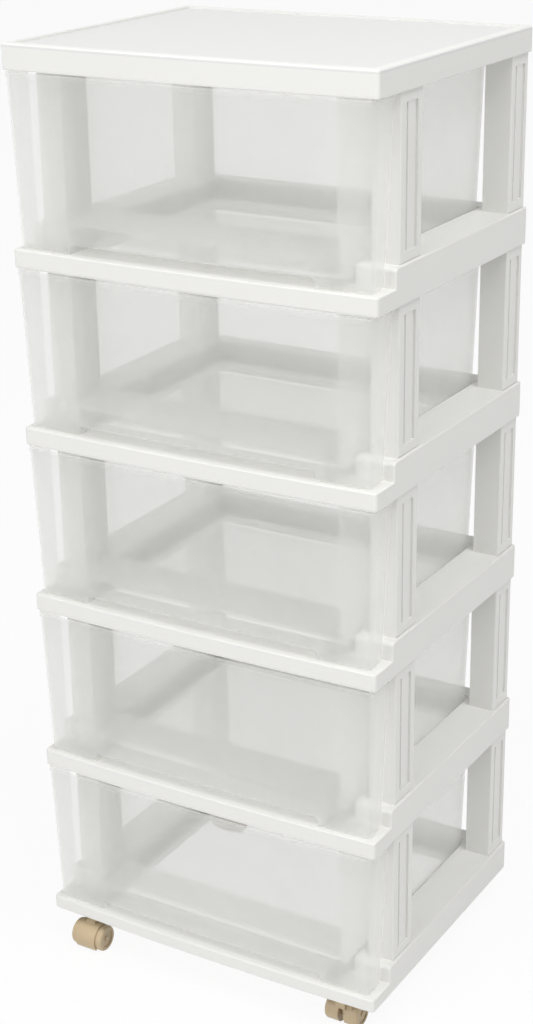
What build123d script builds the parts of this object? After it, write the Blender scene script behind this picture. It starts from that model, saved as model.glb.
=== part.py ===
from build123d import *

import os
from math import cos, radians, sin, tan

# Five-drawer plastic tower on swivel casters. Millimetres, +Z up, drawer fronts facing -Y.
# The origin is on the floor, under the middle of the frames.

# ---- frames, shared by the four shelves and the base ----
frame_width = 392.0
frame_depth = 314.0
front_bow = 3.8              # how far the middle of each front edge bulges forward
plan_corner = 4.0            # radius of the frames' upright corners
frame_wall = 3.0
level_pitch = 178.8          # from one ledge to the next
shelf_ledge_height = 18.3    # front face of a shelf frame
base_ledge_height = 14.6     # front face of the base frame
rail_step = 18.5             # side and rear rails stand this far above the ledge
side_rail_width = 41.0
rear_rail_width = 19.0
rail_setback = 35.0          # front ends of the side rails, behind the front edge
rail_nose = 4.0              # rounding on top of those front ends
front_ledge_depth = 45.0
runner_width = 14.0          # lip inside the rails that carries the drawer
lip_height = 8.0
top_edge_round = 1.2
bottom_edge_round = 2.4

# ---- top board ----
board_height = 24.4
board_plate = 4.5
board_rim_width = 9.0
board_recess = 2.0
board_edge_round = 2.5
top_opening = 168.0          # clear height between the highest ledge and the board

# ---- posts ----
post_width = 28.0
front_post_depth = 41.0
rear_post_depth = 36.0
post_inset = 3.0             # outer face, inside the frame's outer face
front_post_setback = 47.0    # front face, behind the frame's front edge
post_corner = 1.5
post_wall = 4.5
spigot_height = 10.0
spigot_fit = 0.15            # clearance round a spigot
pocket_width = 22.0          # shallow upright panel in the outer face
pocket_depth = 0.8
pocket_end_gap = 10.0
groove_width = 4.5
groove_depth = 2.4
foot_gap = 1.0               # shadow line round the post's foot

# ---- drawers ----
drawer_count = 5
drawer_wall = 2.2
drawer_draft = 2.0           # degrees, every wall
drawer_top_gap = 1.5
drawer_run_gap = 0.4         # under the drawer's floor
drawer_side_gap = 2.1        # to the side rails, at the rails' top
drawer_rear_gap = 1.5        # to the rear rail, at the rail's top
front_side_inset = 1.0       # front panel's ends at the top, inside the frame's sides
front_proud = 1.0            # front panel's top edge, ahead of the frame's front
return_slant = 2.5           # how far each end of the front runs inward
return_gap = 1.5             # to the front ends of the side rails
return_reach = 15.0          # front's outline, carried on behind its ends to meet the box
drawer_corner = 10.0
drawer_bottom_round = 4.0
body_corner = 12.0
rim_height = 4.5
rim_overhang = 1.0
rim_round = 0.8
pull_width = 266.0           # finger pull under the front
pull_lip_rise = 10.0         # front's lower edge there, above the drawer's underside
pull_roof_rise = 26.0
pull_roof_slope = 8.0        # how much higher the roof is at its back
pull_depth = 45.0
pull_end_round = 6.0

# ---- casters ----
wheel_diameter = 28.0
caster_width = 38.0
wheel_gap = 6.4              # between the two wheels of a caster
wheel_shoulder = 2.6
wheel_dish_radius = 9.5
wheel_dish_depth = 1.2
axle_drop = 24.5             # axle under the base frame
caster_trail = 9.0
caster_side_inset = 44.0     # stem, inside the frame's side
caster_end_inset = 16.0      # stem, inside the frame's front and rear
stem_diameter = 6.0
stem_depth = 11.0
stem_collar_diameter = 11.0
stem_collar_height = 1.2
stem_chamfer = 0.6
stem_boss_wall = 5.0
swivel_fit = 0.05            # radial
swivel_gap = 0.4
hood_boss_height = 8.8
hood_boss_width = 10.6
hood_web = 5.0
hood_hub_radius = 6.5
hood_neck_round = 1.5
guard_width = 25.0
guard_wall = 1.5
guard_gap = 0.6              # over the wheels' treads
guard_front_angle = 42.0     # how far the guard reaches below the axle, degrees
guard_rear_angle = 52.0      # how far it reaches past the top, degrees
axle_diameter = 3.0
axle_fit = 0.05              # radial, in the wheels
axle_cover = 2.0             # wheel's outer skin over the axle's end

# ---- aids ----
overrun = 1.0                # cuts run this far past a face
near = 0.01                  # same height or place
least_corner = 0.6           # inner corners are never sharper

# ---- places worked out from the sizes ----
half_width = frame_width / 2
half_depth = frame_depth / 2
wheel_radius = wheel_diameter / 2
base_bottom = wheel_radius + axle_drop
base_ledge = base_bottom + base_ledge_height
ledges = [base_ledge + level_pitch * (drawer_count - 1 - tier) for tier in range(drawer_count)]
shelf_bottoms = [ledge - shelf_ledge_height for ledge in ledges[:-1]]
board_bottom = ledges[0] + top_opening
ceilings = [board_bottom] + shelf_bottoms
rail_inner = half_width - side_rail_width
rear_rail_inner = half_depth - rear_rail_width
rail_front = -half_depth + rail_setback
post_centre_x = half_width - post_inset - post_width / 2
front_post_y = -half_depth + front_post_setback + front_post_depth / 2
rear_post_y = half_depth - post_inset - rear_post_depth / 2
corners = {
    "front_left": (-1, -1),
    "front_right": (1, -1),
    "rear_left": (-1, 1),
    "rear_right": (1, 1),
}
# way the wheels trail at rest, as a sign along Y
caster_turns = {"front_left": -1, "front_right": 1, "rear_left": -1, "rear_right": 1}

os.makedirs("parts", exist_ok=True)


def save(node, shape):
    shape.label = node
    export_step(shape, f"parts/{node}.step")


def block(x0, x1, y0, y1, z0, z1):
    return Pos((x0 + x1) / 2, (y0 + y1) / 2, (z0 + z1) / 2) * Box(x1 - x0, y1 - y0, z1 - z0)


def bowed_plan(half_x, front_y, rear_y, bow, front_radius, rear_radius):
    """Flat outline whose front edge bulges by bow."""
    front_left = (-half_x, front_y)
    front_right = (half_x, front_y)
    outline = [
        ThreePointArc(front_left, (0, front_y - bow), front_right),
        Line(front_right, (half_x, rear_y)),
        Line((half_x, rear_y), (-half_x, rear_y)),
        Line((-half_x, rear_y), front_left),
    ]
    plan = make_face(outline)
    plan = fillet(plan.vertices().filter_by(lambda v: v.Y < 0), front_radius)
    return fillet(plan.vertices().sort_by(Axis.Y)[-2:], rear_radius)


def frame_plan(inset):
    corner = max(plan_corner - inset, least_corner)
    return bowed_plan(half_width - inset, -half_depth + inset, half_depth - inset, front_bow, corner, corner)


def post_place(corner):
    side, end = corners[corner]
    return side * post_centre_x, front_post_y if end < 0 else rear_post_y


def post_depth(corner):
    return front_post_depth if corners[corner][1] < 0 else rear_post_depth


def socket_pads(underside, top):
    """Solid pads over the four posts, each with a pocket for the post's upper spigot."""
    pads = []
    for corner in corners:
        x, y = post_place(corner)
        depth = post_depth(corner)
        pad = block(x - post_width / 2, x + post_width / 2, y - depth / 2, y + depth / 2, underside, top)
        pocket = spigot(corner, -spigot_fit, underside, spigot_height + 2 * spigot_fit)
        pads.append(pad - pocket)
    return pads


def spigot(corner, clearance, z, height):
    """Block that fits inside a post's walls, smaller by the clearance on each side."""
    x, y = post_place(corner)
    half_x = post_width / 2 - post_wall - clearance
    half_y = post_depth(corner) / 2 - post_wall - clearance
    return block(x - half_x, x + half_x, y - half_y, y + half_y, z, z + height)


def outer_edges(solid, z):
    """Edges of the outline at height z."""
    return [edge for edge in solid.edges() if abs(edge.center().Z - z) < near and edge.geom_type != GeomType.BSPLINE]


def frame(bottom, ledge_height):
    """Moulded ring: a ledge and runners at one height, higher rails at the sides and rear."""
    ledge = bottom + ledge_height
    top = ledge + rail_step
    deck = Pos(0, 0, bottom) * extrude(frame_plan(0), ledge_height)
    deck = fillet(outer_edges(deck, ledge), top_edge_round)
    deck = fillet(outer_edges(deck, bottom), bottom_edge_round)
    deck -= Pos(0, 0, bottom - overrun) * extrude(frame_plan(frame_wall), ledge_height - frame_wall + overrun)

    rails = Pos(0, 0, bottom + bottom_edge_round) * extrude(frame_plan(0), top - bottom - bottom_edge_round)
    inside = block(-rail_inner, rail_inner, -frame_depth, rear_rail_inner, bottom, top + overrun)
    ahead = block(-frame_width, frame_width, -frame_depth, rail_front, bottom, top + overrun)
    rails -= inside + ahead
    noses = rails.edges().filter_by(Axis.X).filter_by(lambda e: e.center().Z > top - near)
    rails = fillet(noses.filter_by(lambda e: e.center().Y < rail_front + near), rail_nose)
    rims = rails.edges().filter_by(Axis.Y).filter_by(lambda e: e.center().Z > top - near)
    rails = fillet(rims, top_edge_round)
    hollow = Pos(0, 0, bottom) * extrude(frame_plan(frame_wall), top - bottom - frame_wall)
    hollow -= block(
        -rail_inner - frame_wall, rail_inner + frame_wall,
        -frame_depth, rear_rail_inner + frame_wall, bottom - overrun, top + overrun,
    )
    hollow -= block(
        -frame_width, frame_width, -frame_depth, rail_front + rail_nose,
        bottom - overrun, top + overrun,
    )
    body = deck + rails - hollow

    opening_x = rail_inner - runner_width
    opening_front = -half_depth + front_ledge_depth
    opening_rear = rear_rail_inner - runner_width
    body -= block(-opening_x, opening_x, opening_front, opening_rear, bottom - overrun, top + overrun)
    lip = block(
        -opening_x - frame_wall, opening_x + frame_wall,
        opening_front - frame_wall, opening_rear + frame_wall, ledge - lip_height, ledge - frame_wall / 2,
    )
    lip -= block(-opening_x, opening_x, opening_front, opening_rear, bottom, top)
    body += lip
    for pad in socket_pads(bottom, top - frame_wall / 2):
        body += pad
    for corner in corners:
        body += spigot(corner, spigot_fit, top - frame_wall / 2, spigot_height + frame_wall / 2)
    return body


def base_frame():
    """Lowest frame: no posts enter from below, and four bosses hold the caster stems."""
    body = frame(base_bottom, base_ledge_height)
    for corner in corners:
        x, y = post_place(corner)
        depth = post_depth(corner)
        fill = block(
            x - post_width / 2 + post_wall / 2, x + post_width / 2 - post_wall / 2,
            y - depth / 2 + post_wall / 2, y + depth / 2 - post_wall / 2,
            base_bottom, base_bottom + spigot_height + frame_wall,
        )
        body += fill
        stem_x, stem_y = stem_place(corner)
        boss_radius = stem_diameter / 2 + stem_boss_wall
        boss_height = base_ledge_height - frame_wall / 2
        body += Pos(stem_x, stem_y, base_bottom + boss_height / 2) * Cylinder(boss_radius, boss_height)
        bore = Pos(stem_x, stem_y, base_bottom + stem_depth / 2) * Cylinder(stem_diameter / 2, stem_depth)
        body -= bore
    return body


def stem_place(corner):
    side, end = corners[corner]
    return side * (half_width - caster_side_inset), end * (half_depth - caster_end_inset)


def top_board():
    """Inverted tray with a raised rim round its panel."""
    top = board_bottom + board_height
    body = Pos(0, 0, board_bottom) * extrude(frame_plan(0), board_height)
    body = fillet(outer_edges(body, top), board_edge_round)
    body = fillet(outer_edges(body, board_bottom), top_edge_round)
    panel = Pos(0, 0, top - board_recess) * extrude(frame_plan(board_rim_width), board_recess + overrun)
    body -= panel
    body -= Pos(0, 0, board_bottom - overrun) * extrude(frame_plan(frame_wall), board_height - board_plate + overrun)
    for pad in socket_pads(board_bottom, top - board_plate / 2):
        body += pad
    return body


def post(tier, corner):
    """Hollow upright with a shallow panel and two grooves in its outer face."""
    side = corners[corner][0]
    x, y = post_place(corner)
    depth = post_depth(corner)
    bottom = ledges[tier] + rail_step
    top = ceilings[tier]
    height = top - bottom
    body = Pos(x, y, bottom + height / 2) * Box(post_width, depth, height)
    upright = body.edges().filter_by(Axis.Z)
    body = fillet(upright.filter_by(lambda e: (e.center().X - x) * side > 0), post_corner)
    face_x = x + side * post_width / 2
    pocket_bottom = bottom + pocket_end_gap
    pocket_top = top - pocket_end_gap
    body -= block(
        face_x - pocket_depth, face_x + pocket_depth,
        y - pocket_width / 2, y + pocket_width / 2, pocket_bottom, pocket_top,
    )
    for end in (-1, 1):
        groove_y = y + end * (pocket_width - groove_width) / 2
        body -= block(
            face_x - groove_depth, face_x + groove_depth,
            groove_y - groove_width / 2, groove_y + groove_width / 2, pocket_bottom, pocket_top,
        )
    body -= block(
        face_x - pocket_depth, face_x + pocket_depth, y - depth, y + depth,
        bottom - overrun, bottom + foot_gap,
    )
    body -= spigot(corner, 0, bottom, height - post_wall)
    body += spigot(corner, 0, top - post_wall / 2, spigot_height + post_wall / 2)
    return body


def tapered(plan, top, depth):
    """Plan drawn at the top height, drawn in by the draft on its way down."""
    return extrude(Pos(0, 0, top) * plan, amount=-depth, taper=drawer_draft)


def tapered_space(plan, top, depth):
    """Room inside such a solid, open above its top."""
    return tapered(plan, top, depth) + Pos(0, 0, top) * extrude(plan, drawer_top_gap)


def bottom_round(solid, z, radius, keep):
    edges = [edge for edge in solid.edges() if abs(edge.center().Z - z) < near and keep(edge.center())]
    return fillet(edges, radius)


def front_plan(inset, back):
    """Front of a drawer in plan: bowed face, rounded ends that then slant inward to the back."""
    half_x = half_width - front_side_inset - inset
    front_y = -half_depth - front_proud + inset
    back_x = half_x - return_slant
    outline = [
        ThreePointArc((-half_x, front_y), (0, front_y - front_bow), (half_x, front_y)),
        Polyline((half_x, front_y), (back_x, back), (-back_x, back), (-half_x, front_y)),
    ]
    plan = make_face(outline)
    return fillet(plan.vertices().sort_by(Axis.Y)[:2], drawer_corner - inset)


def body_plan(inset, half_x, rear_y):
    """Box of a drawer in plan, run forward past the front's face."""
    ahead = -half_depth - front_proud - 2 * front_bow
    plan = make_face(Polyline(
        (-half_x + inset, ahead), (half_x - inset, ahead),
        (half_x - inset, rear_y - inset), (-half_x + inset, rear_y - inset), close=True,
    ))
    return fillet(plan.vertices().sort_by(Axis.Y)[-2:], body_corner - inset)


def rim(outer, inner, top):
    """Turned-out lip round an upper edge, from its outer outline and one inside the wall."""
    lip = Pos(0, 0, top - rim_height) * extrude(outer, rim_height)
    lip = fillet(outer_edges(lip, top) + outer_edges(lip, top - rim_height), rim_round)
    return lip - Pos(0, 0, top - rim_height - overrun) * extrude(inner, rim_height + 2 * overrun)


def pull_profile(grow, front_y, bottom):
    """Side outline of the finger pull, grown by a wall, extruded across the drawer."""
    rear_y = front_y + pull_depth + grow
    roof = bottom + pull_roof_rise + grow
    half_x = pull_width / 2 + grow
    profile = Plane.YZ * make_face(Polyline(
        (front_y - drawer_wall, bottom - overrun), (rear_y, bottom - overrun),
        (rear_y, roof + pull_roof_slope), (front_y - drawer_wall, roof), close=True,
    ))
    solid = Pos(-half_x, 0, 0) * extrude(profile, 2 * half_x)
    upright = solid.edges().filter_by(Axis.Z).filter_by(lambda e: e.center().Y > front_y)
    return fillet(upright, pull_end_round + grow)


def drawer(opening):
    """One-piece drawer for a clear height, standing on a ledge at z = 0.

    A wide bowed front, a narrower box behind it and a finger pull moulded up into the underside.
    """
    top = opening - drawer_top_gap
    bottom = drawer_run_gap
    height = top - bottom
    draw_in = tan(radians(drawer_draft))
    half_x = rail_inner - drawer_side_gap + (top - rail_step) * draw_in
    rear_y = rear_rail_inner - drawer_rear_gap + (top - rail_step) * draw_in
    back = rail_front - return_gap
    past_back = back + return_reach
    inner_round = drawer_bottom_round - drawer_wall
    behind = block(-half_width, half_width, back - overrun, half_depth, bottom - overrun, top + overrun)

    def in_front(c):
        return c.Y < back - overrun

    def box_plan(inset):
        return body_plan(inset, half_x, rear_y)

    front = tapered(front_plan(0, back), top, height)
    front = bottom_round(front, bottom, drawer_bottom_round, in_front)
    front_rim = rim(front_plan(-rim_overhang, back), front_plan(drawer_wall / 2, back + overrun), top)
    front_space = tapered_space(front_plan(drawer_wall, past_back), top, height - drawer_wall)
    front_space = bottom_round(front_space, bottom + drawer_wall, inner_round, in_front)
    front_zone = tapered(front_plan(0, past_back), top, height)
    front_zone = bottom_round(front_zone, bottom, drawer_bottom_round, in_front)
    box = bottom_round(tapered(box_plan(0), top, height), bottom, inner_round, lambda c: c.Y > -half_depth)
    box_rim = rim(box_plan(-rim_overhang), box_plan(drawer_wall / 2), top) & behind
    box = box & (front_zone + behind)
    space = tapered_space(box_plan(drawer_wall), top, height - drawer_wall) & (front_space + behind)
    tub = (front - front_space) + (box - space) + front_rim + box_rim

    face_y = -half_depth - front_proud + height * draw_in
    tub += pull_profile(drawer_wall, face_y, bottom) & box
    scoop = tapered(front_plan(drawer_wall, back + pull_depth), top, height + overrun)
    tub -= pull_profile(0, face_y, bottom) & scoop
    notch = block(
        -pull_width / 2, pull_width / 2, -half_depth - front_proud - 2 * front_bow, face_y + drawer_bottom_round,
        bottom - pull_lip_rise, bottom + pull_lip_rise,
    )
    tub -= fillet(notch.edges().filter_by(Axis.Y), pull_end_round)
    return tub


def turned(corner, shape):
    """Caster piece drawn about its stem and trailing to -Y, set in its corner and turned to its rest."""
    stem_x, stem_y = stem_place(corner)
    turn = 0 if caster_turns[corner] < 0 else 180
    return Pos(stem_x, stem_y, base_bottom) * Rot(0, 0, turn) * shape


def cross_cylinder(radius, x0, x1):
    """Cylinder along X on the axle's line."""
    middle = Pos((x0 + x1) / 2, -caster_trail, -axle_drop)
    return middle * Rot(0, 90, 0) * Cylinder(radius, x1 - x0)


def caster_stem():
    """Steel pin pressed into the base, with a collar under it; the hood turns on its lower end."""
    reach = stem_collar_height + hood_boss_height
    pin = Pos(0, 0, (stem_depth - reach) / 2) * Cylinder(stem_diameter / 2, stem_depth + reach)
    pin += Pos(0, 0, -stem_collar_height / 2) * Cylinder(stem_collar_diameter / 2, stem_collar_height)
    return chamfer(pin.edges().sort_by(Axis.Z)[-1], stem_chamfer)


def caster_hood():
    """Swivelling body: boss for the stem, a web between the wheels and a guard over them."""
    inner = wheel_radius + guard_gap
    outer = inner + guard_wall
    boss_top = -stem_collar_height - swivel_gap
    half_boss = hood_boss_width / 2
    first = radians(90 - guard_rear_angle)
    last = radians(180 + guard_front_angle)
    steps = [first + (last - first) * step / 4 for step in range(5)]
    reach = 2 * outer
    wedge = Plane.YZ * make_face(Polyline(
        (-caster_trail, -axle_drop),
        *[(-caster_trail + reach * cos(a), -axle_drop + reach * sin(a)) for a in steps],
        close=True,
    ))
    wedge = Pos(-caster_width, 0, 0) * extrude(wedge, 2 * caster_width)
    guard = cross_cylinder(outer, -guard_width / 2, guard_width / 2)
    guard = fillet(guard.edges().filter_by(GeomType.CIRCLE), guard_wall / 2)
    guard -= cross_cylinder(inner, -caster_width, caster_width)
    neck = Plane.YZ * make_face(Polyline(
        (half_boss, boss_top), (-half_boss, boss_top),
        (-caster_trail - half_boss, -axle_drop + inner), (-caster_trail, -axle_drop),
        (half_boss, -axle_drop + caster_trail), close=True,
    ))
    neck = Pos(-half_boss, 0, 0) * extrude(neck, hood_boss_width)
    neck = fillet(neck.edges().filter_by(Axis.X).sort_by(Axis.Z)[-2:], hood_neck_round)
    web = cross_cylinder(inner + guard_wall / 2, -hood_web / 2, hood_web / 2) & wedge
    web += cross_cylinder(hood_hub_radius, -hood_web / 2, hood_web / 2)
    hood = (guard & wedge) + (neck - cross_cylinder(inner, -caster_width, caster_width)) + web
    swivel_bore = Cylinder(stem_diameter / 2 + swivel_fit, 2 * (hood_boss_height + stem_collar_height + swivel_gap))
    hood -= swivel_bore
    hood -= cross_cylinder(axle_diameter / 2, -caster_width, caster_width)
    return hood


def caster_axle():
    half = caster_width / 2 - axle_cover
    return cross_cylinder(axle_diameter / 2, -half, half)


def caster_wheel(side):
    """One wheel of the pair, closed over the axle's end and dished on its outer face."""
    face = side * caster_width / 2
    inner_face = side * wheel_gap / 2
    wheel = cross_cylinder(wheel_radius, min(face, inner_face), max(face, inner_face))
    rims = wheel.edges().filter_by(GeomType.CIRCLE)
    wheel = fillet(rims.filter_by(lambda e: e.center().X * side > abs(face) - near), wheel_shoulder)
    dish_end = face - side * wheel_dish_depth
    dish = cross_cylinder(wheel_dish_radius, min(face, dish_end), max(face, dish_end))
    dish -= cross_cylinder(axle_diameter, -caster_width, caster_width)
    wheel -= dish
    bore_end = side * (caster_width / 2 - axle_cover + axle_fit)
    wheel -= cross_cylinder(axle_diameter / 2 + axle_fit, min(0, bore_end), max(0, bore_end))
    return wheel


def main():
    save("top_board", top_board())
    shelf = frame(0, shelf_ledge_height)
    for number, underside in enumerate(shelf_bottoms, start=1):
        save(f"shelf_frame_{number}", Pos(0, 0, underside) * shelf)
    save("base_frame", base_frame())

    openings = [ceiling - ledge for ceiling, ledge in zip(ceilings, ledges)]
    top_drawer = drawer(openings[0])
    lower_drawer = drawer(openings[1])
    for tier, ledge in enumerate(ledges):
        save(f"drawer_{tier + 1}", Pos(0, 0, ledge) * (top_drawer if tier == 0 else lower_drawer))
        for corner in corners:
            save(f"post_{tier + 1}_{corner}", post(tier, corner))

    stem, hood, axle = caster_stem(), caster_hood(), caster_axle()
    wheels = {"left": caster_wheel(-1), "right": caster_wheel(1)}
    for corner in corners:
        save(f"caster_{corner}_stem", turned(corner, stem))
        save(f"caster_{corner}_hood", turned(corner, hood))
        save(f"caster_{corner}_axle", turned(corner, axle))
        for hand, wheel in wheels.items():
            save(f"caster_{corner}_wheel_{hand}", turned(corner, wheel))


main()
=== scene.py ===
import math

import bpy
import numpy as np
from mathutils import Matrix, Vector


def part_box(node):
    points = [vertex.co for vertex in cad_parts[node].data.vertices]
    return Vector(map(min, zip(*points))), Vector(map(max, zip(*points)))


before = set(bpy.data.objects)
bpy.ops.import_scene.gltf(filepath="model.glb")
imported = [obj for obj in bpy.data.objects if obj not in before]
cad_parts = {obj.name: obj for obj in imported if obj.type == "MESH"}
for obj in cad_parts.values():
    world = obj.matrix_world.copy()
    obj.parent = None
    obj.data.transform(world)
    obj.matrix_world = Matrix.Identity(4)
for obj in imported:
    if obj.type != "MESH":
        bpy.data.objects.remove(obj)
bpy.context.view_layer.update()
print("frame loaded:", len(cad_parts), "nodes")


# a shader socket that adds its own Math nodes when it is used in an expression
class Field:
    def __init__(self, tree, socket):
        self.tree = tree
        self.socket = socket

    def math(self, operation, first, second):
        node = self.tree.nodes.new("ShaderNodeMath")
        node.operation = operation
        for slot, value in enumerate((first, second)):
            if isinstance(value, Field):
                self.tree.links.new(value.socket, node.inputs[slot])
            else:
                node.inputs[slot].default_value = value
        return Field(self.tree, node.outputs[0])

    def __add__(self, other): return self.math("ADD", self, other)
    def __radd__(self, other): return self.math("ADD", other, self)
    def __sub__(self, other): return self.math("SUBTRACT", self, other)
    def __rsub__(self, other): return self.math("SUBTRACT", other, self)
    def __mul__(self, other): return self.math("MULTIPLY", self, other)
    def __rmul__(self, other): return self.math("MULTIPLY", other, self)
    def __lt__(self, other): return self.math("LESS_THAN", self, other)
    def __gt__(self, other): return self.math("GREATER_THAN", self, other)
    def __or__(self, other): return self.math("MAXIMUM", self, other)


# one material: its node tree, a way to add any node, and its Principled shader
class Finish:
    def __init__(self, name):
        self.material = bpy.data.materials.new(name)
        self.material.use_nodes = True
        self.tree = self.material.node_tree
        self.tree.nodes.clear()
        self.shader = self.tree.nodes.new("ShaderNodeBsdfPrincipled")
        self.output = self.tree.nodes.new("ShaderNodeOutputMaterial")
        self.surface(Field(self.tree, self.shader.outputs[0]))
        self.place = self.node("ShaderNodeTexCoord", output="Object")

    def node(self, kind, settings=None, sockets=None, output=0):
        node = self.tree.nodes.new(kind)
        for key, value in (settings or {}).items():
            setattr(node, key, value)
        for key, value in (sockets or {}).items():
            self.put(node.inputs[key], value)
        return Field(self.tree, node.outputs[output])

    def put(self, socket, value):
        if isinstance(value, Field):
            self.tree.links.new(value.socket, socket)
        else:
            socket.default_value = value

    def set(self, **values):   # the Principled shader's own sockets, by name
        for key, value in values.items():
            self.put(self.shader.inputs[key.replace("_", " ")], value)

    def surface(self, shader):
        self.put(self.output.inputs[0], shader)

    def noise(self, scale, detail, stretch=(1, 1, 1)):
        at = self.node("ShaderNodeMapping", None, {"Vector": self.place, "Scale": stretch})
        sockets = {"Vector": at, "Scale": scale, "Detail": detail}
        return self.node("ShaderNodeTexNoise", None, sockets)

    def blend(self, factor, first, second):
        colors = {"Factor": factor, 6: first, 7: second}   # 6 and 7 are the colours A and B
        return self.node("ShaderNodeMix", {"data_type": "RGBA"}, colors, output=2)

    def mixShaders(self, factor, first, second):
        return self.node("ShaderNodeMixShader", None, {0: factor, 1: first, 2: second})

    def bump(self, height, depth):   # height runs from 0 to 1 over depth metres
        return self.node("ShaderNodeBump", None, {"Height": height, "Distance": depth, "Strength": 1.0})

    def height(self):   # z of the surface, in metres
        return self.node("ShaderNodeSeparateXYZ", None, {0: self.place}, output=2)


# white frames, posts and top board
framePlastic = {
    "color": (0.86, 0.857, 0.832, 1),
    "shade": (0.83, 0.827, 0.802, 1),        # where the moulding's flow left it a little greyer
    "panelColor": (0.765, 0.765, 0.755, 1),  # the top board's sunk panel
    "panelDrop": 0.0015,   # the panel is all that lies this far below the board's rim, in metres
    "panelBand": 0.002,    # and within this height
    "roughness": 0.34,
    "grainScale": 1400,
    "grainDepth": 0.00003,
}


def makeFramePlastic(name, spec, rimTop=None):
    finish = Finish(name)
    flow = finish.noise(9, 3, (1, 1, 0.35))
    grain = finish.noise(spec["grainScale"], 1)
    wear = finish.noise(55, 4)
    color = finish.blend(flow, spec["shade"], spec["color"])
    if rimTop is not None:
        panelTop = rimTop - spec["panelDrop"]
        z = finish.height()
        panel = (z < panelTop) * (z > panelTop - spec["panelBand"])
        color = finish.blend(panel, color, spec["panelColor"])
    finish.set(Base_Color=color, Roughness=spec["roughness"] + 0.10 * wear + 0.05 * grain)
    finish.set(Normal=finish.bump(grain * 0.7 + wear * 0.3, spec["grainDepth"]), IOR=1.49)
    return finish.material


# milky translucent drawers
drawerPlastic = {
    "color": (0.965, 0.968, 0.95, 1),
    "shade": (0.93, 0.935, 0.92, 1),
    "through": (0.97, 0.97, 0.955, 1),   # colour of the light that soaks through a wall
    "soak": 0.55,         # share of the milkiness that passes light on instead of returning it
    "roughness": 0.20,
    "cover": 0.31,        # how much one skin hides of what is behind it
    "coverSwing": 0.05,   # from one cloud of the milkiness to the next
    "edgeCover": 0.12,    # more where a skin is seen from the side
    "rippleDepth": 0.0001,
}


def makeDrawerPlastic(name, spec):
    finish = Finish(name)
    cloud = finish.noise(14, 3)
    ripple = finish.noise(30, 2, (1, 1, 0.6))
    grain = finish.noise(900, 1)
    facing = finish.node("ShaderNodeLayerWeight", None, {"Blend": 0.25}, "Facing")
    finish.set(Base_Color=finish.blend(cloud, spec["shade"], spec["color"]))
    finish.set(Roughness=spec["roughness"] + 0.08 * cloud + 0.04 * grain)
    finish.set(Normal=finish.bump(ripple * 0.8 + grain * 0.05, spec["rippleDepth"]), IOR=1.49)
    cover = spec["cover"] + spec["coverSwing"] * (cloud - 0.5) + spec["edgeCover"] * facing
    matte = Field(finish.tree, finish.shader.outputs[0])
    glow = finish.node("ShaderNodeBsdfTranslucent", None, {"Color": spec["through"]})
    milk = finish.mixShaders(spec["soak"], matte, glow)
    clear = finish.node("ShaderNodeBsdfTransparent")
    finish.surface(finish.mixShaders(cover, clear, milk))
    return finish.material


# tan caster plastic and zinc pins
casterPlastic = {
    "color": (0.60, 0.475, 0.30, 1),
    "shade": (0.53, 0.41, 0.255, 1),
    "roughness": 0.28,
    "grainDepth": 0.00003,
}
pinSteel = {
    "color": (0.62, 0.62, 0.61, 1),
    "shade": (0.50, 0.50, 0.50, 1),
    "roughness": 0.3,
    "scratchDepth": 0.00002,
}


def makeCasterPlastic(name, spec):
    finish = Finish(name)
    flow = finish.noise(60, 3)
    grain = finish.noise(2200, 1)
    finish.set(Base_Color=finish.blend(flow, spec["shade"], spec["color"]))
    finish.set(Roughness=spec["roughness"] + 0.14 * flow + 0.05 * grain)
    finish.set(Normal=finish.bump(grain, spec["grainDepth"]), IOR=1.5)
    return finish.material


def makePinSteel(name, spec):
    finish = Finish(name)
    drawn = finish.noise(300, 3, (1, 1, 14))
    finish.set(Base_Color=finish.blend(drawn, spec["shade"], spec["color"]), Metallic=1.0)
    finish.set(Roughness=spec["roughness"] + 0.2 * drawn)
    finish.set(Normal=finish.bump(drawn, spec["scratchDepth"]))
    return finish.material


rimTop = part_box("top_board")[1][2]
materials = {
    "frame": makeFramePlastic("whiteFramePlastic", framePlastic),
    "board": makeFramePlastic("whiteBoardPlastic", framePlastic, rimTop),
    "drawer": makeDrawerPlastic("milkyDrawerPlastic", drawerPlastic),
    "caster": makeCasterPlastic("tanCasterPlastic", casterPlastic),
    "pin": makePinSteel("zincPinSteel", pinSteel),
}


def finishOf(node):
    if node == "top_board":
        return materials["board"]
    if node.startswith("drawer"):
        return materials["drawer"]
    if node.startswith("caster"):
        return materials["pin" if node.endswith(("stem", "axle")) else "caster"]
    return materials["frame"]


for node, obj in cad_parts.items():
    for place in obj.material_slots:
        place.material = finishOf(node)
    if not obj.material_slots:
        obj.data.materials.append(finishOf(node))
print("finishes on the moulded pieces")

# the camera, where the photograph's was: metres and degrees
view = {
    "place": (0.9393, -1.5705, 1.1971),
    "azimuth": 31.05,
    "elevation": 21.37,
    "roll": -0.88,
    "lens": 67.63,
    "sensor": 36,
    "shift": (-0.00625, 0.0015),
}


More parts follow.
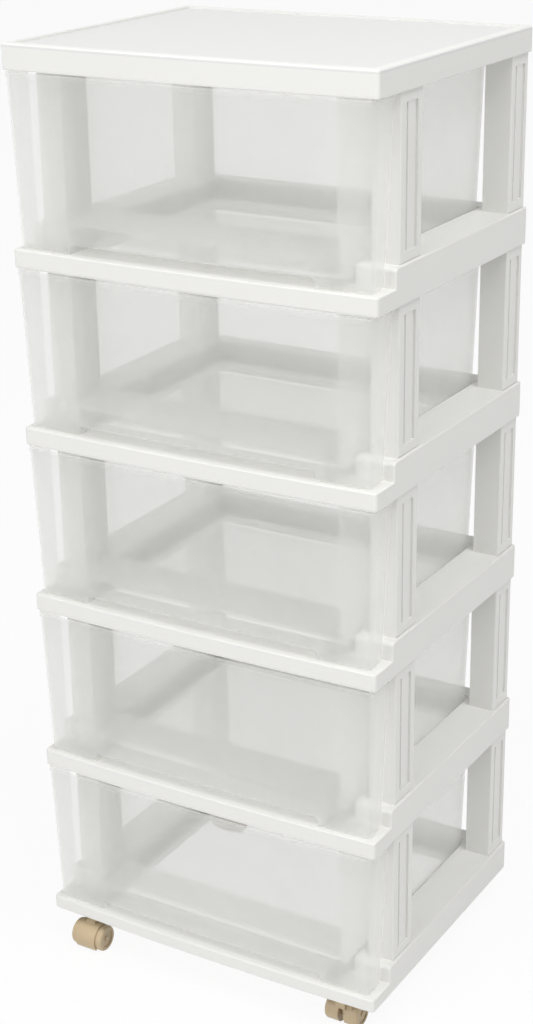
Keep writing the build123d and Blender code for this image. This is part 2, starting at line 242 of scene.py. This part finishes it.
def placeCamera(spec):
    azimuth, elevation, roll = (math.radians(spec[key]) for key in ("azimuth", "elevation", "roll"))
    level = math.cos(elevation)
    back = Vector((math.sin(azimuth) * level, -math.cos(azimuth) * level, math.sin(elevation)))
    right = Vector((0, 0, 1)).cross(back).normalized()
    up = back.cross(right)
    across = math.cos(roll) * right + math.sin(roll) * up
    upward = -math.sin(roll) * right + math.cos(roll) * up
    data = bpy.data.cameras.new("photoCamera")
    data.lens = spec["lens"]
    data.sensor_width = spec["sensor"]
    data.shift_x, data.shift_y = spec["shift"]
    data.clip_end = 200
    camera = bpy.data.objects.new("photoCamera", data)
    turn = Matrix((across, upward, back)).transposed().to_4x4()
    camera.matrix_world = Matrix.Translation(spec["place"]) @ turn
    bpy.context.collection.objects.link(camera)
    bpy.context.scene.camera = camera


placeCamera(view)

# soft studio light and a white floor: metres and watts
studio = {
    "ambient": 0.31,
    "aim": (0, 0, 0.5),
    "lamps": {
        "highRight": {"place": (1.9, -0.7, 4.0), "size": 2.2, "power": 66},
        "highFront": {"place": (-0.2, -2.1, 3.9), "size": 2.2, "power": 50},
        "front": {"place": (-0.8, -4.2, 1.6), "size": 2.2, "power": 42},
        "right": {"place": (4.0, -0.6, 1.6), "size": 2.2, "power": 10},
    },
    "floorReach": 30.0,
    "floorSides": 96,
    "floorColors": ((0.84, 0.84, 0.84, 1), (0.88, 0.88, 0.88, 1)),
    "floorWhite": 0.93,   # share of plain white that the camera sees in the floor
}


def addLamp(name, spec, aim):
    data = bpy.data.lights.new(name, "AREA")
    data.shape = "DISK"
    data.size = spec["size"]
    data.energy = spec["power"]
    lamp = bpy.data.objects.new(name, data)
    away = Vector(spec["place"]) - Vector(aim)
    lamp.rotation_euler = away.to_track_quat("Z", "Y").to_euler()
    lamp.location = spec["place"]
    bpy.context.collection.objects.link(lamp)


def seenDirectly(tree):   # 1 where the camera, a mirror or glass looks, 0 where light is gathered
    path = tree.nodes.new("ShaderNodeLightPath")
    kinds = ("Is Camera Ray", "Is Glossy Ray", "Is Transmission Ray")
    camera, glossy, through = (Field(tree, path.outputs[kind]) for kind in kinds)
    return camera | glossy | through


def setWorld(spec):
    world = bpy.data.worlds.new("studio")
    bpy.context.scene.world = world
    world.use_nodes = True
    tree = world.node_tree
    light = tree.nodes["Background"]
    light.inputs["Color"].default_value = (1, 1, 1, 1)
    strength = seenDirectly(tree) * (1 - spec["ambient"]) + spec["ambient"]
    tree.links.new(strength.socket, light.inputs["Strength"])


def addFloor(spec):
    # a disc: reach times the cosine and sine of the turn, flat at z = 0
    sides = spec["floorSides"]
    turn = np.linspace(0, 2 * np.pi, sides, endpoint=False)
    points = np.column_stack((np.cos(turn), np.sin(turn), np.zeros(sides))) * spec["floorReach"]
    mesh = bpy.data.meshes.new("studioFloor")
    mesh.from_pydata(points.tolist(), [], [list(range(sides))])
    floor = bpy.data.objects.new("studioFloor", mesh)
    bpy.context.collection.objects.link(floor)
    finish = Finish("paleFloor")
    finish.set(Base_Color=finish.blend(finish.noise(3, 4), *spec["floorColors"]), Roughness=0.9)
    share = seenDirectly(finish.tree) * spec["floorWhite"]
    matte = Field(finish.tree, finish.shader.outputs[0])
    white = finish.node("ShaderNodeEmission")
    finish.surface(finish.mixShaders(share, matte, white))
    mesh.materials.append(finish.material)


for name, spec in studio["lamps"].items():
    addLamp(name, spec, studio["aim"])
setWorld(studio)
addFloor(studio)
bpy.context.scene.view_settings.view_transform = "Standard"
print("camera, lamps and floor placed")
